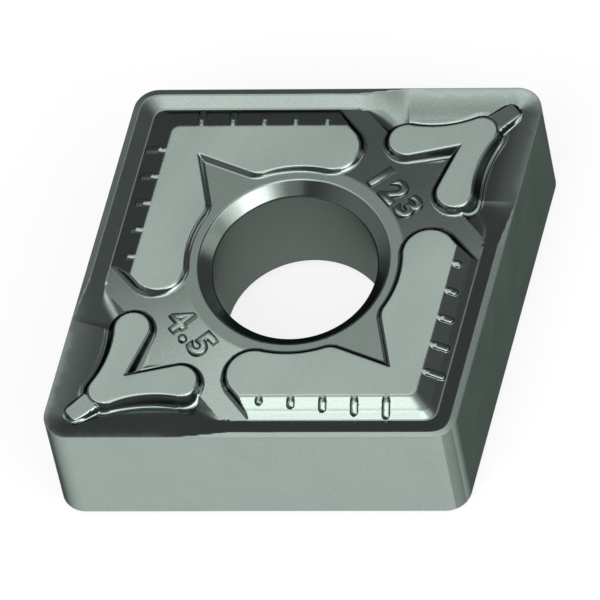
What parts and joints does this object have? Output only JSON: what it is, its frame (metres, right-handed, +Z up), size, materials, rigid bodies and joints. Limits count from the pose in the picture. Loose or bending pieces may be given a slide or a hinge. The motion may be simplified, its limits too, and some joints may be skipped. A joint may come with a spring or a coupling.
{
  "type": "carbide insert",
  "caption": "Rhombic carbide turning insert with a central bore and the same chip breaker, raised pads and star-shaped recess on both faces.",
  "frame": {"origin": "on the bore's axis, level with the lower pads that the insert lies on", "axes": "+Z up along the bore, +X through an 80 degree nose, +Y through a 100 degree corner"},
  "size_m": [0.0188, 0.016, 0.0048],
  "materials": {
    "coated_carbide": "satin green-grey coating over sintered carbide"
  },
  "bodies": {
    "root": {"insert_body": "coated_carbide"}
  },
  "joints": []
}
